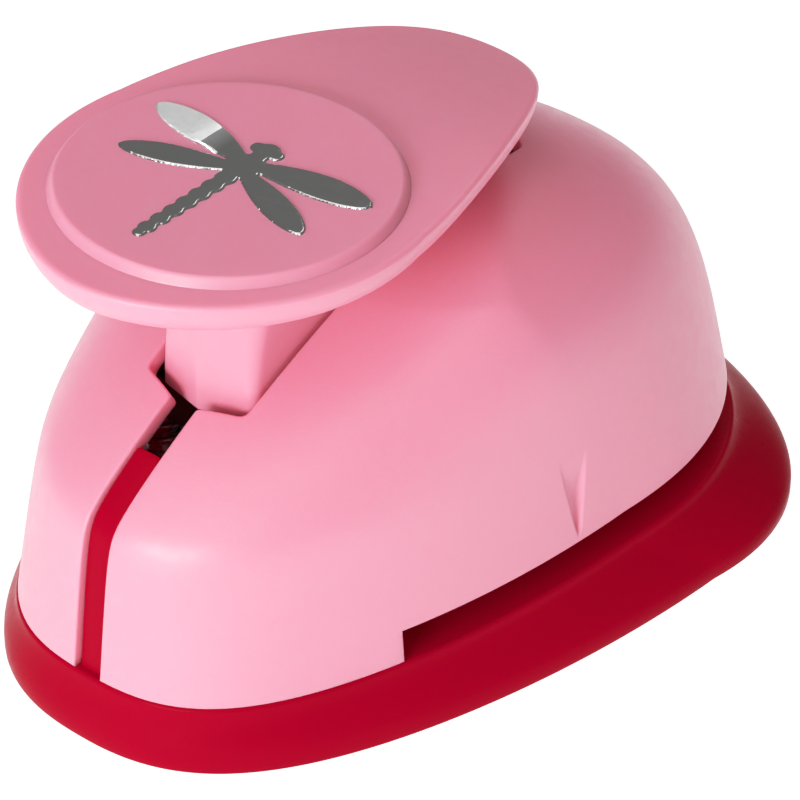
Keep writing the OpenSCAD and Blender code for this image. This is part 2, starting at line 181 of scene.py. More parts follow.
def resample(path, n):
    """n points evenly along an open polyline."""
    step = np.r_[0, np.cumsum(np.linalg.norm(np.diff(path, axis=0), axis=1))]
    at = np.linspace(0, step[-1], n)
    return np.stack([np.interp(at, step, path[:, i]) for i in range(path.shape[1])], -1)


def arc(cx, cy, r, a0, a1, n=12):
    a = np.radians(np.linspace(a0, a1, n))
    return np.stack([cx + r * np.cos(a), cy + r * np.sin(a)], -1)


def gap_w(y):
    """Half-width of the roof opening at y; it narrows toward the back."""
    return 6.6 - 0.0012 * (y + 17) ** 2


def nosed(tip, lean, inset, r, back, rb):
    """Right half of an outline inset from the opening's sides: a blunt point in front at tip,
    whose edges fall back by lean, with corners of radius r in front and rb at the back."""
    cx = gap_w(tip + 3) - inset - r
    cy = tip + lean * cx + r * math.hypot(1, lean)
    bx = gap_w(back - rb) - inset - rb
    y = np.linspace(cy, back - rb, 40)[1:-1]
    return np.concatenate([
        [[0.0, tip]],
        arc(cx, cy, r, math.degrees(math.atan(lean)) - 90, 0),
        np.stack([gap_w(y) - inset, y], -1),
        arc(bx, back - rb, rb, 0, 90),
        [[0.0, back]],
    ])


# ---------------------------------------------------------------- mesh helpers

def make(name, verts, faces, material, body, slot, sharp=None):
    """A smooth mesh piece from points in millimetres, riding on a CAD body; edges that turn by
    more than sharp degrees stay crisp."""
    mesh = bpy.data.meshes.new(name)
    mesh.from_pydata((np.asarray(verts) * MM).tolist(), [], [list(map(int, f)) for f in faces])
    mesh.validate()
    obj = bpy.data.objects.new(name, mesh)
    bpy.context.scene.collection.objects.link(obj)
    mesh.polygons.foreach_set("use_smooth", [True] * len(mesh.polygons))
    if sharp:
        mesh.set_sharp_from_angle(angle=math.radians(sharp))
    obj.data.materials.append(material)
    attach(obj, body)
    return obj


def stack(rings, closed=False):
    """Verts and quads through a stack of equal, closed rings; closed joins the last to the first."""
    count, n = len(rings), len(rings[0])
    faces = []
    for k in range(count if closed else count - 1):
        nxt = (k + 1) % count
        for i in range(n):
            j = (i + 1) % n
            faces.append((k * n + i, k * n + j, nxt * n + j, nxt * n + i))
    return np.concatenate(rings), faces


def join(*parts):
    """One vertex and face list from several."""
    verts, faces, start = [], [], 0
    for v, f in parts:
        verts.append(np.asarray(v, float))
        faces += [tuple(i + start for i in face) for face in f]
        start += len(v)
    return np.concatenate(verts), faces


def lathe(profile, n, axis="z"):
    """Solid of revolution of closed profile points (radius, height)."""
    rings = []
    for a in np.linspace(0, 2 * math.pi, n, endpoint=False):
        r, h = profile[:, 0], profile[:, 1]
        x, y = r * math.cos(a), r * math.sin(a)
        rings.append(np.stack([x, y, h] if axis == "z" else [h, x, y], -1))
    return stack(rings, closed=True)


def compact(verts, faces):
    """Vertices and faces without the vertices that no face uses."""
    used = np.unique(np.concatenate([np.array(f) for f in faces]))
    renumber = np.zeros(len(verts), int)
    renumber[used] = np.arange(len(used))
    return verts[used], [tuple(renumber[list(f)]) for f in faces]


def capped(rings):
    """Stack with its first and last ring closed by strips between mirrored points,
    for rings that are symmetric about their first point."""
    verts, faces = stack(rings)
    n = len(rings[0])
    for base, turn in ((0, -1), ((len(rings) - 1) * n, 1)):
        strip = [(0, 1, n - 1)] + [(i, i + 1, n - i - 1, n - i) for i in range(1, n // 2 - 1)]
        strip.append((n // 2 - 1, n // 2, n // 2 + 1))
        faces += [tuple(base + i for i in f[::turn]) for f in strip]
    return verts, faces


# ---------------------------------------------------------------- materials

def nodes_of(material):
    material.use_nodes = True
    tree = material.node_tree
    return tree, tree.nodes["Principled BSDF"]


def add(tree, kind, **values):
    node = tree.nodes.new(kind)
    for key, value in values.items():
        if key in node.inputs:
            node.inputs[key].default_value = value
        else:
            setattr(node, key, value)
    return node


def object_noise(tree, scale, detail=3.0, roughness=0.55, stretch=(1, 1, 1)):
    coords = add(tree, "ShaderNodeTexCoord")
    mapping = add(tree, "ShaderNodeMapping")
    mapping.inputs["Scale"].default_value = stretch
    noise = add(tree, "ShaderNodeTexNoise", Scale=scale, Detail=detail, Roughness=roughness)
    tree.links.new(coords.outputs["Object"], mapping.inputs["Vector"])
    tree.links.new(mapping.outputs["Vector"], noise.inputs["Vector"])
    return noise


def ramp(tree, source, low, high, start=0.3, end=0.7):
    node = add(tree, "ShaderNodeMapRange")
    node.inputs["From Min"].default_value = start
    node.inputs["From Max"].default_value = end
    node.inputs["To Min"].default_value = low
    node.inputs["To Max"].default_value = high
    tree.links.new(source, node.inputs["Value"])
    return node.outputs["Result"]


def two_tone(tree, shader, factor, dark, light):
    mix = add(tree, "ShaderNodeMix", data_type="RGBA")
    mix.inputs["A"].default_value = (*dark, 1)
    mix.inputs["B"].default_value = (*light, 1)
    tree.links.new(factor, mix.inputs["Factor"])
    tree.links.new(mix.outputs["Result"], shader.inputs["Base Color"])


def bumps(tree, shader, *layers):
    """Chained bumps: (height output, strength, distance in metres)."""
    normal = None
    for height, strength, distance in layers:
        bump = add(tree, "ShaderNodeBump", Strength=strength, Distance=distance)
        tree.links.new(height, bump.inputs["Height"])
        if normal:
            tree.links.new(normal, bump.inputs["Normal"])
        normal = bump.outputs["Normal"]
    tree.links.new(normal, shader.inputs["Normal"])
    return bump


def plastic(name, colour, roughness, grain, specular, subsurface=0.0, spread=0.05, painted_glow=None):
    """Moulded plastic: fine spark-eroded grain, slow sheen changes, small colour drift; glow is
    painted light, an even emission of the plastic's own colour that lifts its shaded parts and
    stands in for light coming through the plastic."""
    material = bpy.data.materials.new(name)
    tree, shader = nodes_of(material)
    fine = object_noise(tree, 5200, detail=2.0)
    soft = object_noise(tree, 700, detail=2.0)
    cloud = object_noise(tree, 45, detail=3.0)
    dark = [c * (1 - spread) for c in colour]
    light = [min(1, c * (1 + spread)) for c in colour]
    two_tone(tree, shader, ramp(tree, cloud.outputs["Fac"], 0, 1), dark, light)
    rough = ramp(tree, soft.outputs["Fac"], roughness - 0.05, roughness + 0.05)
    tree.links.new(rough, shader.inputs["Roughness"])
    bumps(tree, shader, (soft.outputs["Fac"], 0.25 * grain, 0.00004),
          (fine.outputs["Fac"], 0.6 * grain, 0.00002))
    shader.inputs["Specular IOR Level"].default_value = specular
    if subsurface:
        shader.inputs["Subsurface Weight"].default_value = subsurface
        shader.inputs["Subsurface Radius"].default_value = (1.0, 0.25, 0.3)
        shader.inputs["Subsurface Scale"].default_value = 0.003
    # painted light: the plastic emits a little of its own colour, which lifts its shade
    if painted_glow:
        shader.inputs["Emission Color"].default_value = (*painted_glow, 1)
        shader.inputs["Emission Strength"].default_value = 1.0
    return material


def metal(name, colour, roughness, brush=(1, 1, 1), scale=1500):
    """Metal with drawn or ground marks along one direction and patchy sheen."""
    material = bpy.data.materials.new(name)
    tree, shader = nodes_of(material)
    marks = object_noise(tree, scale, detail=4.0, stretch=brush)
    patch = object_noise(tree, 160, detail=3.0)
    dark = [c * 0.86 for c in colour]
    two_tone(tree, shader, ramp(tree, patch.outputs["Fac"], 0, 1), dark, colour)
    rough = ramp(tree, marks.outputs["Fac"], roughness - 0.06, roughness + 0.1)
    tree.links.new(rough, shader.inputs["Roughness"])
    bumps(tree, shader, (marks.outputs["Fac"], 0.3, 0.00002))
    shader.inputs["Metallic"].default_value = 1.0
    return material


def foil(name):
    """Hot-stamped mirror foil with fine pits; the left fore wing leans and is creased, and its foil
    is painted near white against the grey of the rest as a painted reflection.
    """
    material = bpy.data.materials.new(name)
    tree, shader = nodes_of(material)
    crease = object_noise(tree, 900, detail=5.0, roughness=0.7, stretch=(1, 1.6, 1))
    waves = object_noise(tree, 130, detail=2.0)
    coords = add(tree, "ShaderNodeTexCoord")
    split = add(tree, "ShaderNodeSeparateXYZ")
    tree.links.new(coords.outputs["Object"], split.inputs["Vector"])
    # share of the leaning wing, which carries a painted reflection as well as the lean: it fades in
    # away from the body and the hind wing
    out = ramp(tree, split.outputs["X"], 1, 0, -8.5 * MM, -3.5 * MM)
    behind = ramp(tree, split.outputs["Y"], 0, 1, (PAD_Y + 1.5) * MM, (PAD_Y + 2.6) * MM)
    wing_share = add(tree, "ShaderNodeMath", operation="MULTIPLY")
    tree.links.new(out, wing_share.inputs[0])
    tree.links.new(behind, wing_share.inputs[1])
    share = wing_share.outputs["Value"]
    # painted reflection: the leaning wing's foil goes from grey to near white
    two_tone(tree, shader, ramp(tree, share, 0, 1, 0, 0.6), (0.42, 0.415, 0.41), (0.95, 0.95, 0.95))
    rough = ramp(tree, crease.outputs["Fac"], 0.08, 0.2)
    tree.links.new(rough, shader.inputs["Roughness"])
    # a height that falls to the right and the back leans the wing toward them
    slant = add(tree, "ShaderNodeVectorMath", operation="DOT_PRODUCT")
    slant.inputs[1].default_value = (-0.187, -0.064, 0)
    tree.links.new(coords.outputs["Object"], slant.inputs[0])
    raised = add(tree, "ShaderNodeMath", operation="MULTIPLY")
    tree.links.new(slant.outputs["Value"], raised.inputs[0])
    tree.links.new(ramp(tree, share, 0, 1, 0, 0.5), raised.inputs[1])
    creased = bumps(tree, shader, (raised.outputs["Value"], 1.0, 1.0),
                    (waves.outputs["Fac"], 0.35, 0.0002),
                    (crease.outputs["Fac"], 0.25, 0.0002))
    tree.links.new(ramp(tree, share, 0.05, 1.0, 0, 1), creased.inputs["Strength"])
    shader.inputs["Metallic"].default_value = 1.0
    return material


PINK = plastic("pink_satin", (0.75, 0.235, 0.325), 0.42, 1.0, 0.55, subsurface=0.35, spread=0.02)
# the red plastic carries painted light: a faint red emission that lifts its shaded deck, skirt and
# the inside of the base
RED = plastic("red_gloss", (0.235, 0.0003, 0.014), 0.3, 0.1, 0.02, spread=0.03,
              painted_glow=(0.06, 0, 0.001))
FOIL = foil("mirror_foil")
STEEL = metal("zinc_steel", (0.62, 0.63, 0.65), 0.3, brush=(1, 12, 1))
TOOL = metal("tool_steel", (0.56, 0.57, 0.6), 0.24, brush=(1, 1, 14))
DARK = metal("dark_steel", (0.2, 0.2, 0.22), 0.38)
WIRE = metal("spring_wire", (0.5, 0.5, 0.53), 0.28, scale=3000)


# ---------------------------------------------------------------- shell

EDGE_R = 0.28                  # rounding of the shell's cut edges
HORN_R = 0.55                  # corner between the slot and the roof opening
HORN_TURN = 145                # angle where the slot's side of that corner meets the opening's
HORN = (SLOT_HALF + HORN_R, TIP_Y + LEAN * (SLOT_HALF + HORN_R) - HORN_R * math.hypot(1, LEAN))
SEAM_Z = 30.4                  # rings up to here, then rows that run in to the opening
MARK_FROM, MARK_TO = -4.0, 3.0  # the columns are close together here
COLUMNS = (52, 26, 40, 74)     # slot to mouth, mouth to mark, mark, mark to back
MARK_TOP_Z = 23.5              # the rows that carry the V mark end here


def angle_at_y(u, y):
    """Angle on the right half of section u where it has this y."""
    _, yc, yf, yb, nf, nb, _ = section(u)
    if y < yc:
        return -math.asin(((yc - y) / (yc - yf)) ** (nf / 2))
    return math.asin(((y - yc) / (yb - yc)) ** (nb / 2))


def angle_at_x(u, x):
    """Angle near the front of section u where the outline is x from the middle."""
    low, high = -math.pi / 2, -math.pi / 4
    for _ in range(40):
        mid = (low + high) / 2
        if oval(np.array([mid]), *section(u))[0, 0] < x:
            low = mid
        else:
            high = mid
    return low


def shell_ring(z):
    """Right half of the outline at z, from the slot to the back, columns on fixed lines."""
    u = (z - DECK_Z) / (ROOF_Z - DECK_Z)
    stops = [angle_at_x(u, SLOT_HALF + EDGE_R), angle_at_y(u, MOUTH_Y + EDGE_R),
             angle_at_y(u, MARK_FROM), angle_at_y(u, MARK_TO), math.pi / 2]
    a = np.concatenate([np.linspace(s, e, n, endpoint=False)
                        for s, e, n in zip(stops[:-1], stops[1:], COLUMNS)] + [[math.pi / 2]])
    xy = oval(a, *section(u))
    xy[-1, 0] = 0
    return lift(xy, z)


def opening_half(grow):
    """Right half of the roof opening, from the horn at the slot round to the back centre."""
    slant = math.hypot(1, LEAN)
    outline = nosed(TIP_Y - grow * slant, LEAN, -grow, 1.1 + grow, BACK_Y + grow, 2 + grow)
    horn = arc(*HORN, HORN_R - grow, HORN_TURN, 90 + math.degrees(math.atan(LEAN)))
    return np.concatenate([horn, outline[1:]])


def shell_grid():
    """Outer surface as rows x columns of points, and the row of the raised lower edge."""
    low_rows = np.linspace(DECK_Z + EDGE_R, MOUTH_Z + EDGE_R, 7)
    rows = np.concatenate([low_rows, np.linspace(low_rows[-1], MARK_TOP_Z, 44)[1:],
                           np.linspace(MARK_TOP_Z, SEAM_Z, 26)[1:]])
    grid = [shell_ring(z) for z in rows]
    edge = resample(opening_half(EDGE_R), len(grid[-1]))
    last = grid[-1][:, :2]
    steps = np.linspace(0, 1, 30)[1:]
    # the first column runs up the slot and round the horn's corner
    horn = np.concatenate([[last[0]], arc(*HORN, HORN_R - EDGE_R, 180, HORN_TURN)])
    horn = resample(horn, len(steps) + 1)[1:]
    fade = np.clip(1 - np.arange(len(last)) / 14, 0, 1)[:, None] ** 2
    for k, v in enumerate(steps):
        xy = last * (1 - v) + edge * v
        xy = xy + (horn[k] - xy[0]) * fade
        xy[-1, 0] = 0
        grid.append(lift(xy, roof_height(xy)))
    half = np.array(grid)
    mirrored = half[:, -2::-1] * [-1, 1, 1]
    return np.concatenate([half, mirrored], axis=1), len(low_rows) - 1


def grid_normals(grid):
    """Outward unit normals of a grid of points."""
    n = np.cross(np.gradient(grid, axis=1), np.gradient(grid, axis=0))
    return n / np.linalg.norm(n, axis=2, keepdims=True)


def v_mark_depth(points):
    """Depth of the recessed V on the sides that marks the middle of the cut: a crisp step
    along its front arm, a sloping wall along its back arm, fading out toward its top."""
    apex_z, tall, deep = 11.7, 10.8, 0.72
    front_lean, back_lean = 2.5, 1.4
    s = (points[..., 2] - apex_z) / tall
    y = points[..., 1] - CUT_Y
    step = smooth_step((y - 0.15 + front_lean * s) / 0.3)
    slope = smooth_step((0.65 + back_lean * s - y) / 0.55)
    taper = smooth_step((1 - s) / 0.6) * smooth_step(s / 0.1)
    on_side = (np.abs(points[..., 0]) > 20) & (s > 0) & (s < 1)
    return np.where(on_side, deep * taper * np.minimum(step, slope), 0)


def shell_edge(rows, cols, mouth_row, notch, far):
    """The boundary of the shell's surface as grid places in order: up the slot, round the
    opening, down the slot, and along the lower edge with its raised part."""
    loop = [(r, 0) for r in range(rows)]
    loop += [(rows - 1, c) for c in range(1, cols)]
    loop += [(r, cols - 1) for r in range(rows - 2, -1, -1)]
    loop += [(0, c) for c in range(cols - 2, far - 1, -1)]
    loop += [(r, far) for r in range(1, mouth_row + 1)]
    loop += [(mouth_row, c) for c in range(far - 1, notch - 1, -1)]
    loop += [(r, notch) for r in range(mouth_row - 1, -1, -1)]
    loop += [(0, c) for c in range(notch - 1, 0, -1)]
    return loop


def edge_strips(edge, up):
    """Rounded edge of the shell: point rows from the outer surface round to the inner one."""
    ahead = np.roll(edge, -1, 0) - edge
    side = np.cross(ahead, up)
    side /= np.linalg.norm(side, axis=1, keepdims=True)
    # the loop starts up the right side of the slot, where outward is toward -X
    if side[1, 0] > 0:
        side = -side
    before = np.roll(side, 1, 0)
    mitre = np.maximum(1 + (side * before).sum(1, keepdims=True), 0.35)
    out = (side + before) / mitre
    lips = []
    for turn in np.radians([22.5, 45, 67.5, 90]):
        lips.append(edge + out * EDGE_R * math.sin(turn) - up * EDGE_R * (1 - math.cos(turn)))
    lips.append(lips[-1] - up * (SHELL_T - 2 * EDGE_R))
    lips.append(edge + out * EDGE_R * 0.4 - up * SHELL_T)
    return lips


def build_housing():
    grid, mouth_row = shell_grid()
    rows, cols = grid.shape[:2]
    normal = grid_normals(grid)
    inner = grid - normal * SHELL_T
    outer = grid - normal * v_mark_depth(grid)[..., None]
    notch = COLUMNS[0]
    far = cols - 1 - notch
    loop = shell_edge(rows, cols, mouth_row, notch, far)
    at = tuple(np.array(loop).T)
    lips = edge_strips(outer[at], normal[at])
    verts = np.concatenate([outer.reshape(-1, 3), *lips, inner.reshape(-1, 3)])

    lip_start = rows * cols
    inner_start = lip_start + len(lips) * len(loop)
    faces = []
    for r in range(rows - 1):
        for c in range(cols - 1):
            if r < mouth_row and notch <= c < far:
                continue
            quad = (r * cols + c, r * cols + c + 1, (r + 1) * cols + c + 1, (r + 1) * cols + c)
            faces.append(quad)
            faces.append(tuple(inner_start + q for q in quad[::-1]))

    def chain(i):
        """Vertices across the edge at place i of the loop, from the outside in."""
        r, c = loop[i]
        across = [lip_start + k * len(loop) + i for k in range(len(lips))]
        return [r * cols + c, *across, inner_start + r * cols + c]

    for i in range(len(loop)):
        here, ahead = chain(i), chain((i + 1) % len(loop))
        for k in range(len(here) - 1):
            faces.append((here[k], ahead[k], ahead[k + 1], here[k + 1]))
    obj = make("shell", *compact(verts, faces), PINK, "body", "pink_plastic")
    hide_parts("housing")


# ---------------------------------------------------------------- base

BASE_N = 360


def foot(t):
    """The base's outline on the table, inset by t."""
    return oval(once_round(BASE_N), BASE_W - t, 14.8, -BASE_HALF + t, BASE_HALF - t,
                2.32, 2.05, 0.083)


def lip(t):
    """The base's outline at the deck, inset by t."""
    return oval(once_round(BASE_N), SHELL_W + 0.15 - t, 7.6, -44.6 + t, 42.5 - t,
                2.49, 2.09, 0.084)


def skirt(t, z):
    """The skirt's outline at height z, inset by t: it flares from the lip out to the foot."""
    share = (1 + np.cos(np.pi * np.clip((z - 1) / (DECK_Z - 1), 0, 1))) / 2
    return foot(t) * share + lip(t) * (1 - share)


def boxed(outline, centre_y, w, y0, y1):
    """The points where rays from the centre to an outline cross a rectangle."""
    d = outline - [0, centre_y]
    reach = np.where(d[:, 1] > 0, y1 - centre_y, centre_y - y0)
    scale = np.minimum(w / np.maximum(np.abs(d[:, 0]), 1e-6),
                       reach / np.maximum(np.abs(d[:, 1]), 1e-6))
    return [0, centre_y] + d * scale[:, None]


def spine_mesh():
    """The upright that fills the slot: a rounded bar swept up the shell's front profile."""
    z = np.linspace(DECK_Z - 1.2, SPINE_TOP, 70)
    y = front_y(z) + SPINE_SET
    tangent = np.stack([np.gradient(y), np.gradient(z)], -1)
    tangent /= np.linalg.norm(tangent, axis=1, keepdims=True)
    inward = np.stack([tangent[:, 1], -tangent[:, 0]], -1)
    half, deep, r = SLOT_HALF - 0.13, 3.2, 0.3
    cross = np.concatenate([arc(half - r, r, r, 0, -90, 5), arc(-half + r, r, r, -90, -180, 5),
                            [[-half, deep], [half, deep]]])
    rings = []
    for k in range(len(z)):
        pts = [[x, y[k] + inward[k, 0] * d, z[k] + inward[k, 1] * d] for x, d in cross]
        rings.append(np.array(pts))
    # a slightly rounded top end
    end = rings[-1]
    mid = end.mean(0)
    for size, rise in ((0.94, 0.2), (0.85, 0.28)):
        ring = mid + (end - mid) * size
        rings.append(ring + [0, tangent[-1, 0] * rise, tangent[-1, 1] * rise])
    verts, faces = stack(rings)
    n = len(cross)
    faces.append(tuple(range((len(rings) - 1) * n, len(rings) * n)))
    faces.append(tuple(range(n - 1, -1, -1)))
    return verts, faces


def build_base():
    floor_z = DECK_Z - DECK_T + 0.05
    wall, edge_r, gap = 2.2, 0.35, 0.05
    rings = [lift(foot(0.25), 0), lift(foot(0.08), 0.1), lift(foot(0), 0.3)]
    rings += [lift(skirt(0, z), z) for z in np.linspace(0.9, DECK_Z - edge_r, 26)]
    for turn in np.radians([30, 60, 90]):
        inset, drop = edge_r * (1 - math.cos(turn)), edge_r * (1 - math.sin(turn))
        rings.append(lift(lip(inset), DECK_Z - drop))
    rings.append(lift(lip(0.5), DECK_Z))
    mid_y = (DIE_LOW[1] + DIE_HIGH[1]) / 2
    pocket = boxed(lip(0), mid_y, DIE_HIGH[0] + gap, DIE_LOW[1] - gap, DIE_HIGH[1] + gap)
    window = boxed(lip(0), mid_y, 15, -12, 10.4)
    for v in (0.3, 0.65, 0.99, 1.0):
        rings.append(lift(lip(0.5) * (1 - v) + pocket * v, DECK_Z))
    rings.append(lift(pocket, DECK_Z - 0.15))
    for z, outline in ((DIE_LOW[2], pocket), (DIE_LOW[2], window), (floor_z, window)):
        rings.append(lift(outline, z))
    rings.append(lift(window * 0.5 + skirt(wall, floor_z) * 0.5, floor_z))
    for z in (floor_z, floor_z - 0.2, 3, 2, 1, 0.3, 0):
        rings.append(lift(skirt(wall, z), z))
    body = stack(rings, closed=True)
    ribs = [rib(x0, x1, y0, y1, 0.8, floor_z + 0.3)
            for x0, x1, y0, y1 in ((-14, 14, -22, -20.4), (-14, 14, 24, 25.6), (-0.8, 0.8, -42, -21))]
    verts, faces = join(body, spine_mesh(), *ribs)
    obj = make("base_moulding", verts, faces, RED, "body", "red_plastic", sharp=38)
    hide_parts("base")


def rib(x0, x1, y0, y1, low, high):
    """A straight rib between two heights, hanging from the deck, narrower below."""
    draft = 0.15
    rings = []
    for z, t in ((low, draft), (high, 0.0)):
        rings.append(np.array([[x0 + t, y0 + t, z], [x1 - t, y0 + t, z],
                               [x1 - t, y1 - t, z], [x0 + t, y1 - t, z]]))
    verts, faces = stack(rings)
    return verts, faces + [(3, 2, 1, 0), (4, 5, 6, 7)]


# ---------------------------------------------------------------- lever

FOLD = 12.6                    # the pad starts to fall this far behind the insert's centre
PAD_N = 300


def droop(s):
    """Fall of the pad behind its middle, s from the centre of the round insert."""
    return np.where(s > FOLD, 0.0045 * (s - FOLD) ** 2, 0)


def tilt(points):
    """From the pad's own axes, with the insert's centre as origin, to the CAD frame."""
    c, s = math.cos(PAD_TILT), math.sin(PAD_TILT)
    x, y, z = np.asarray(points, float).T
    return np.stack([x, PAD_Y + y * c - z * s, PAD_Z + y * s + z * c], -1)


def pad_ring(t, dz, shrink=1.0):
    """The pad's outline inset by t at the height dz, narrowed by shrink."""
    xy = oval(once_round(PAD_N), 19.5 - t, 5.85, -21.9 + t, 41.05 - t, 1.916, 2.12, -0.136, 0.012)
    return tilt(lift(xy * [shrink, 1], dz - droop(xy[:, 1])))


def pad_mesh():
    """The thumb pad: a wide round below its waist and a small one above."""
    waist, thick, top_r, low_r = -0.4, 4.3, 0.7, 3.6
    rings = [pad_ring(low_r, -thick, s) for s in (0.0, 0.4, 0.8, 0.97)]
    for a in np.radians(np.linspace(0, 90, 10)):
        rings.append(pad_ring(low_r * (1 - math.sin(a)), waist - (thick + waist) * math.cos(a)))
    for a in np.radians(np.linspace(0, 90, 9)[1:]):
        rings.append(pad_ring(top_r * (1 - math.cos(a)), waist * (1 - math.sin(a))))
    rings += [pad_ring(top_r, 0, s) for s in (0.985, 0.9, 0.6, 0.3, 0.0)]
    return stack(rings)


def web_ring(v, n=320):
    """The web's section at the share v of the way from its lower edge to the pad."""
    lean, clearance, back_y, back_r = 0.25, 0.45, 13.8, 1.6

    def section_at(z):
        corner_r = 1.0 + 0.12 * max(z - 31, 0)
        half = resample(nosed(WEB_TIP_Y, lean, clearance, corner_r, back_y, back_r), n // 2 + 1)
        return np.concatenate([half, half[-2:0:-1] * [-1, 1]])

    plan = section_at(34)
    # the lower edge slopes down from the front to the nose that presses the ram, and up again
    low = np.interp(plan[:, 1], [-27.3, -12, -3, -1.6, 0.4, 2, 9, 14],
                    [30.2, 27.0, 24.9, 24.1, 24.1, 24.9, 27.4, 28.2])
    top = PAD_Z - 1.6 - droop(plan[:, 1] - PAD_Y) - 0.0192 * (plan[:, 1] - PAD_Y)
    z = low * (1 - v) + top * v
    xy = section_at(z[0])
    # a flat that widens toward the pad takes over from the sharp front edge
    flat = np.clip(0.3 * (z - 34.5), 0, 3)
    in_front = np.abs(xy[:, 0]) < 4
    y = np.where(in_front & (xy[:, 1] < -20), np.maximum(xy[:, 1], WEB_TIP_Y + lean * flat), xy[:, 1])
    # the front follows a circle round the hinge, and flares into the pad
    nose = smooth_step((-8 - xy[:, 1]) / 14)
    reach = HINGE[1] - WEB_TIP_Y
    y = y + nose * (reach - np.sqrt(reach ** 2 - (z - HINGE[2]) ** 2))
    flare_front = 0.05 * np.maximum(z - 38, 0) ** 1.6
    flare_side = 0.12 * np.maximum(z - 46.5, 0) ** 1.8
    corner = smooth_step((-10 - xy[:, 1]) / 15)
    spread = flare_side + corner * np.maximum(flare_front - flare_side, 0)
    away = np.clip(xy[:, 0] / 3, -1, 1)
    return lift(np.stack([xy[:, 0] + away * spread, y - nose * flare_front], -1), z)


def web_mesh():
    return capped([web_ring(v) for v in np.linspace(0, 1, 28)])


def hub_mesh():
    """The hub round the hinge pin, with chamfered ends."""
    outer, bore, half, r, lead = 3.8, 2.05, 10.7, 0.4, 0.2
    profile = np.array([[bore, -half + lead], [bore + lead, -half], [outer - r, -half],
                        [outer, -half + r], [outer, half - r], [outer - r, half],
                        [bore + lead, half], [bore, half - lead]])
    verts, faces = lathe(profile, 64, axis="x")
    return verts + [0, HINGE[1], HINGE[2]], faces


def arm_mesh():
    """The arm from the web back to the hub, under the roof."""
    half, end_r = 3.8, 3.4
    pts = [[12.5, 36.6], [14.0, 36.7], [HINGE[1], HINGE[2] + end_r],
           [HINGE[1], HINGE[2] - end_r], [12.5, 27.9]]
    rings = [np.array([[x, y, z] for y, z in pts]) for x in (-half, half)]
    verts, faces = stack(rings)
    return verts, faces + [(4, 3, 2, 1, 0), (5, 6, 7, 8, 9)]


def build_lever():
    pad = make("thumb_pad", *pad_mesh(), PINK, "lever", "pink_plastic")
    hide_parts("lever")
    make("lever_web", *join(web_mesh(), arm_mesh(), hub_mesh()), PINK, "lever", "pink_plastic",
         sharp=50)


def build_disc():
    """Round insert: flat top, soft bevel, and a foot that sits in the pad."""
    r, bevel_r = DISC_R, 0.55
    bevel = arc(r - 0.95, DISC_UP - bevel_r, bevel_r, 90, 25, 8)
    profile = np.concatenate([[[0.0, DISC_UP]], [[r - 2.5, DISC_UP]], [[r - 1.2, DISC_UP]],
                              bevel, [[r - 0.12, 0.18], [r, 0.0], [r, -0.3], [0.0, -0.3]]])
    verts, faces = lathe(profile, 240)
    obj = make("pad_insert", tilt(verts), faces, PINK, "lever", "pink_plastic", sharp=40)
    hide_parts("pad_disc")


# ---------------------------------------------------------------- dragonfly

def polygon_distance(points, corners):
    """Signed distance to a polygon, negative inside."""
    a, b = corners, np.roll(corners, -1, 0)
    best = np.full(len(points), 1e9)
    inside = np.zeros(len(points), bool)
    for p, q in zip(a, b):
        e, w = q - p, points - p
        t = np.clip((w @ e) / (e @ e), 0, 1)
        best = np.minimum(best, ((w - t[:, None] * e) ** 2).sum(1))
        crosses = (p[1] > points[:, 1]) != (q[1] > points[:, 1])
        with np.errstate(divide="ignore", invalid="ignore"):
            at_x = p[0] + (points[:, 1] - p[1]) * (q[0] - p[0]) / (q[1] - p[1])
        inside ^= crosses & (points[:, 0] < at_x)
    return np.where(inside, -1, 1) * np.sqrt(best)


def circle_distance(points, x, y, r):
    return np.hypot(points[:, 0] - x, points[:, 1] - y) - r


def blend_union(a, b, k):
    """Union of two distances with a fillet of about k."""
    h = np.clip(0.5 + 0.5 * (b - a) / k, 0, 1)
    return b * (1 - h) + a * h - k * h * (1 - h)


def wing(x0, y0, x1, y1, w, lean):
    """Wing outline from root to tip; lean moves its fullest part to the leading edge."""
    axis = np.array([x1 - x0, y1 - y0])
    length = np.linalg.norm(axis)
    u = axis / length
    v = np.array([-u[1], u[0]])
    t = np.linspace(0, 1, 36)
    swell = w * np.sin(np.pi * t ** 1.4) ** 0.52 + 0.4 * (1 - t)
    bow = lean * np.sin(np.pi * t)
    lead = [np.array([x0, y0]) + u * length * s + v * (h + b) for s, h, b in zip(t, swell, bow)]
    trail = [np.array([x0, y0]) + u * length * s - v * (h - b) for s, h, b in zip(t, swell, bow)]
    return np.array(lead + trail[::-1])


def dragonfly_distance(points):
    """Signed distance to the insect's outline, mirrored in X = 0: wings, body, tail and head."""
    p = np.abs(points[:, :1]) * [1, 0] + points[:, 1:] * [0, 1]
    d = polygon_distance(p, wing(0.4, 2.9, 13.9, 5.1, 1.85, 0.3))
    d = blend_union(d, polygon_distance(p, wing(0.3, 1.6, 11.9, -2.8, 1.5, 0.0)), 0.25)
    d = blend_union(d, circle_distance(p, 0, 2.3, 2.0), 0.5)
    tail = np.array([[0, 2.5], [1.0, 2], [0.85, -6], [0.62, -12.4], [0, -12.6]])
    tail = np.concatenate([tail, tail[-2:0:-1] * [-1, 1]])
    d = blend_union(d, polygon_distance(p, tail), 0.3)
    neck = np.array([[-1.1, 2.5], [1.1, 2.5], [0.95, 5.6], [-0.95, 5.6]])
    d = blend_union(d, polygon_distance(p, neck), 0.3)
    head = blend_union(circle_distance(p, 0, 5.75, 1.3), circle_distance(p, 1.2, 5.65, 0.8), 0.25)
    d = blend_union(d, head, 0.2)
    for i in range(7):
        d = blend_union(d, circle_distance(p, 0, -0.4 - 1.85 * i, 1.2 - 0.035 * i), 0.12)
    return blend_union(d, circle_distance(p, 0, -12.6, 0.72), 0.2)


